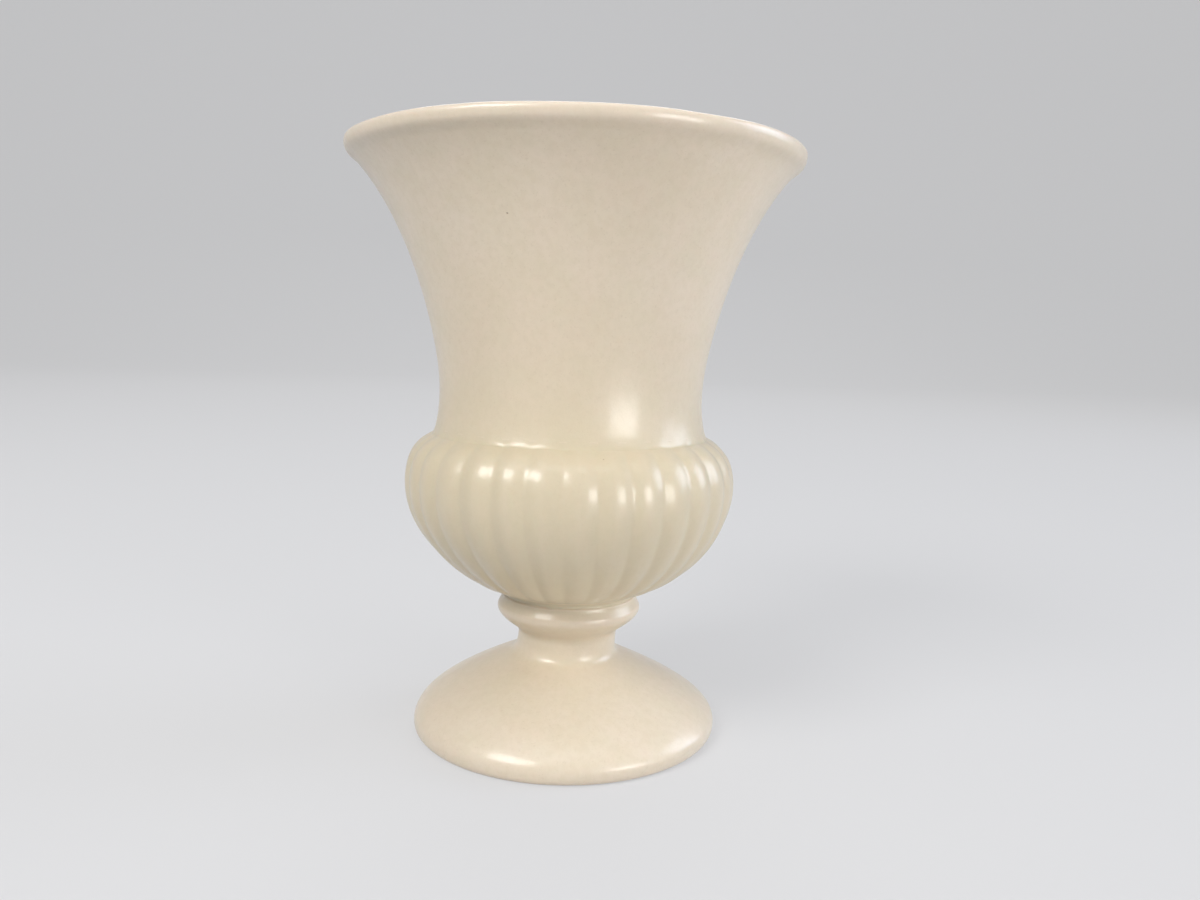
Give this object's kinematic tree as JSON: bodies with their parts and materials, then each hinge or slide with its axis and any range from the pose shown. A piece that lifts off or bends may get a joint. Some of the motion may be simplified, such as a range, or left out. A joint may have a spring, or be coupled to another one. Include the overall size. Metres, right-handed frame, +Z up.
{
  "type": "urn vase",
  "caption": "Free-standing ceramic urn vase with a flared bell neck, a gadrooned bowl and a domed pedestal foot, for holding cut flowers.",
  "frame": {"origin": "centre of the foot ring's resting face, at the bottom of the vase", "axes": "+Z up along the vase's axis, -Y towards the front, +X to the front view's right"},
  "size_m": [0.1256, 0.1256, 0.165],
  "materials": {
    "cream_glaze": "satin to semi-matt cream glaze",
    "fired_slip": "fired cream clay slip",
    "bare_clay": "unglazed fired clay, matt"
  },
  "bodies": {
    "root": {"bell": "cream_glaze", "gadrooned_bowl": "cream_glaze", "pedestal": "cream_glaze", "shoulder_slip_joint": "fired_slip", "pedestal_slip_joint": "fired_slip"}
  },
  "joints": []
}
